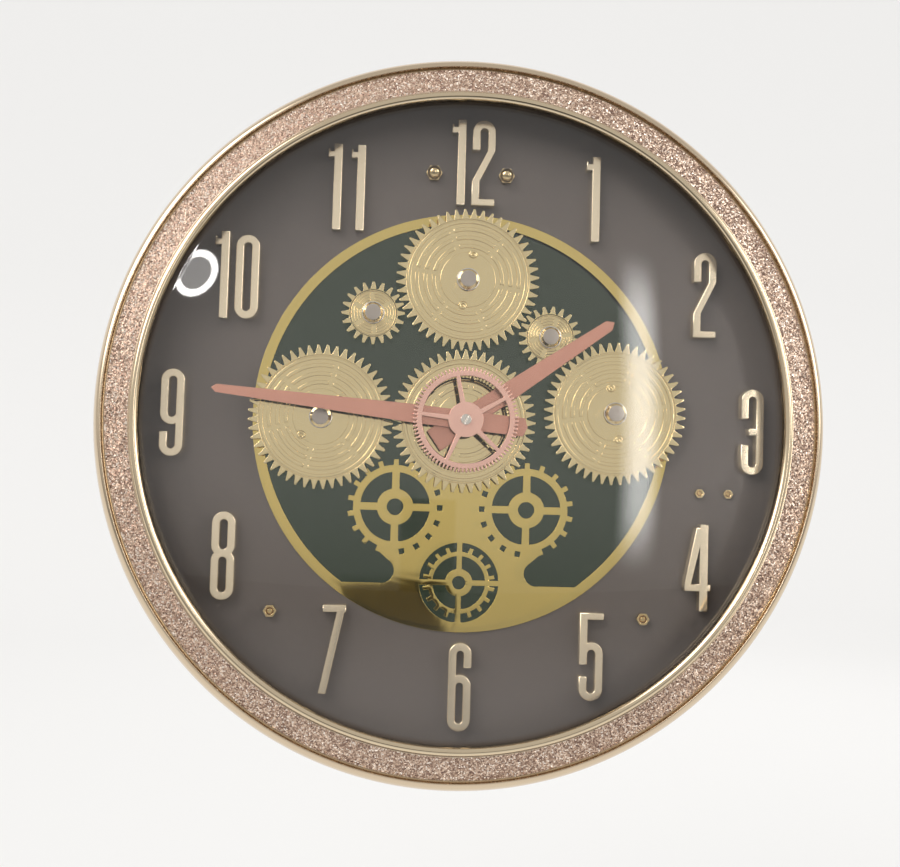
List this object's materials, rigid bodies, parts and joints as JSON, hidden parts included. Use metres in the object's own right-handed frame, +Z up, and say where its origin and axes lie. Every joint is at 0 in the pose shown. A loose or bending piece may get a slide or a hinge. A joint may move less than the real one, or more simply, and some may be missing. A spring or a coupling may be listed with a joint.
{
  "type": "wall clock",
  "caption": "Round wall clock with a glitter bezel, domed lens, raised numerals, turning show gears behind the hands, and its movement, speaker and cells at the back.",
  "frame": {"origin": "centre of the hanger keyhole's round entry, on the wall plane", "axes": "+Z up, +Y into the wall, so the dial faces -Y; +X to the right as the dial is read; the clock's axis runs along Y at z = -0.2 m"},
  "size_m": [0.4999, 0.09, 0.5],
  "materials": {
    "rim_gold": "champagne gold plated, satin gloss",
    "bead_gold": "champagne gold plated, polished",
    "glitter": "rose and champagne glitter under clear lacquer",
    "clear_glass": "clear, polished, slightly domed",
    "dial_sheet": "warm grey metallic, satin",
    "polished_plate": "mirror polished gold",
    "smoked_panel": "dark smoked, see-through",
    "numeral_gold": "champagne gold, polished bevels",
    "nut_gold": "gold plated",
    "turned_steel": "turned and brushed",
    "cap_chrome": "polished rim, satin top",
    "black_plastic": "fine grained",
    "coil_copper": "copper winding on a steel core",
    "case_plastic": "champagne brown, satin",
    "cover_plastic": "fine grained dark grey",
    "cell_jacket": "plain blue-grey jacket, bright ends",
    "contact_nickel": "nickel plated",
    "speaker_black": "black frame and paper cone",
    "board_green": "green board, black parts",
    "bumper_rubber": "matt",
    "gear_gold": "pale gold plated, embossed rings",
    "turned_brass": "machined",
    "hand_rose": "rose gold, polished",
    "wheel_rose": "rose gold, satin",
    "button_rose": "satin rose"
  },
  "bodies": {
    "clock": {"bezel": "rim_gold", "glitter_band": "glitter", "lens_retainer": "bead_gold", "lens": "clear_glass", "dial": "dial_sheet", "skeleton_plate": "polished_plate", "window_panel": "smoked_panel", "numeral_1": "numeral_gold", "numeral_2": "numeral_gold", "numeral_3": "numeral_gold", "numeral_4": "numeral_gold", "numeral_5": "numeral_gold", "numeral_6": "numeral_gold", "numeral_7": "numeral_gold", "numeral_8": "numeral_gold", "numeral_9": "numeral_gold", "numeral_10": "numeral_gold", "numeral_11": "numeral_gold", "numeral_12": "numeral_gold", "dome_nuts": "nut_gold", "hex_nuts": "nut_gold", "gear_posts": "turned_steel", "gear_caps": "cap_chrome", "movement_plate": "turned_steel", "drive_motor": "turned_steel", "movement_case": "black_plastic", "movement_cover": "black_plastic", "step_motor": "coil_copper", "centre_nut": "cap_chrome", "case_body": "case_plastic", "rear_cover": "cover_plastic", "cover_walls": "cover_plastic", "hanger_plate": "turned_steel", "battery_case": "black_plastic", "batteries": "cell_jacket", "battery_contacts": "contact_nickel", "speaker": "speaker_black", "control_board": "board_green", "rear_screws": "turned_steel", "bumpers": "bumper_rubber"},
    "centre_gear": {"centre_gear": "gear_gold", "drive_gear": "black_plastic"},
    "top_gear": {"top_gear": "gear_gold"},
    "left_gear": {"left_gear": "gear_gold"},
    "right_gear": {"right_gear": "gear_gold"},
    "small_left_gear": {"small_left_gear": "gear_gold"},
    "small_right_gear": {"small_right_gear": "gear_gold"},
    "drive_pinion": {"drive_pinion": "turned_brass"},
    "hour": {"hour_hand": "hand_rose", "hour_wheel": "turned_brass"},
    "minute": {"minute_hand": "hand_rose", "minute_cannon": "turned_brass"},
    "second": {"second_wheel": "wheel_rose", "second_arbor": "turned_steel", "centre_screw": "cap_chrome"},
    "motion_wheel": {"motion_wheel": "turned_brass"},
    "time_set_knob": {"time_set_knob": "black_plastic"},
    "battery_door": {"battery_door": "cover_plastic"},
    "melody_button": {"melody_button": "button_rose"},
    "volume_knob": {"volume_knob": "black_plastic"}
  },
  "joints": [
    {"name": "centre_gear_spin", "type": "hinge", "parent": "clock", "child": "centre_gear", "pos_m": [0, 0, -0.2], "axis": [0, 1, 0], "continuous": true},
    {"name": "top_gear_spin", "type": "hinge", "parent": "clock", "child": "top_gear", "pos_m": [0, 0, -0.10208], "axis": [0, 1, 0], "continuous": true},
    {"name": "left_gear_spin", "type": "hinge", "parent": "clock", "child": "left_gear", "pos_m": [-0.09792, 0, -0.2], "axis": [0, 1, 0], "continuous": true},
    {"name": "right_gear_spin", "type": "hinge", "parent": "clock", "child": "right_gear", "pos_m": [0.10447, 0, -0.19162], "axis": [0, 1, 0], "continuous": true},
    {"name": "small_left_gear_spin", "type": "hinge", "parent": "clock", "child": "small_left_gear", "pos_m": [-0.06453, 0, -0.1275], "axis": [0, 1, 0], "continuous": true},
    {"name": "small_right_gear_spin", "type": "hinge", "parent": "clock", "child": "small_right_gear", "pos_m": [0.05797, 0, -0.14016], "axis": [0, 1, 0], "continuous": true},
    {"name": "drive_pinion_spin", "type": "hinge", "parent": "clock", "child": "drive_pinion", "pos_m": [0, 0, -0.224], "axis": [0, 1, 0], "continuous": true},
    {"name": "minute_spin", "type": "hinge", "parent": "clock", "child": "minute", "pos_m": [0, 0, -0.2], "axis": [0, 1, 0], "continuous": true},
    {"name": "hour_spin", "type": "hinge", "parent": "clock", "child": "hour", "pos_m": [0, 0, -0.2], "axis": [0, 1, 0], "continuous": true},
    {"name": "second_spin", "type": "hinge", "parent": "clock", "child": "second", "pos_m": [0, 0, -0.2], "axis": [0, 1, 0], "continuous": true},
    {"name": "motion_wheel_spin", "type": "hinge", "parent": "clock", "child": "motion_wheel", "pos_m": [0.00848, 0, -0.19151], "axis": [0, 1, 0], "continuous": true},
    {"name": "time_set_spin", "type": "hinge", "parent": "clock", "child": "time_set_knob", "pos_m": [0.01259, 0, -0.18024], "axis": [0, 1, 0], "continuous": true},
    {"name": "battery_door_hinge", "type": "hinge", "parent": "clock", "child": "battery_door", "pos_m": [0, -0.0056, -0.378], "axis": [1, 0, 0], "range_deg": [0, 110]},
    {"name": "melody_button_press", "type": "slide", "parent": "clock", "child": "melody_button", "axis": [0, -1, 0], "range_m": [0, 0.0012], "stiffness_N_per_m": 400, "springref_m": -0.002},
    {"name": "volume_knob_turn", "type": "hinge", "parent": "clock", "child": "volume_knob", "pos_m": [0.17323, 0, -0.26509], "axis": [0, 1, 0], "range_deg": [-140, 140]}
  ],
  "couplings": [
    {"joint": "top_gear_spin", "follows": "centre_gear_spin", "ratio": -1},
    {"joint": "left_gear_spin", "follows": "centre_gear_spin", "ratio": -1},
    {"joint": "right_gear_spin", "follows": "centre_gear_spin", "ratio": -1},
    {"joint": "small_left_gear_spin", "follows": "centre_gear_spin", "ratio": 2.4},
    {"joint": "small_right_gear_spin", "follows": "centre_gear_spin", "ratio": 2.4},
    {"joint": "drive_pinion_spin", "follows": "centre_gear_spin", "ratio": -3},
    {"joint": "hour_spin", "follows": "minute_spin", "ratio": 0.083333},
    {"joint": "motion_wheel_spin", "follows": "minute_spin", "ratio": -0.33333},
    {"joint": "time_set_spin", "follows": "minute_spin", "ratio": 1},
    {"joint": "second_spin", "follows": "minute_spin", "ratio": 60}
  ]
}
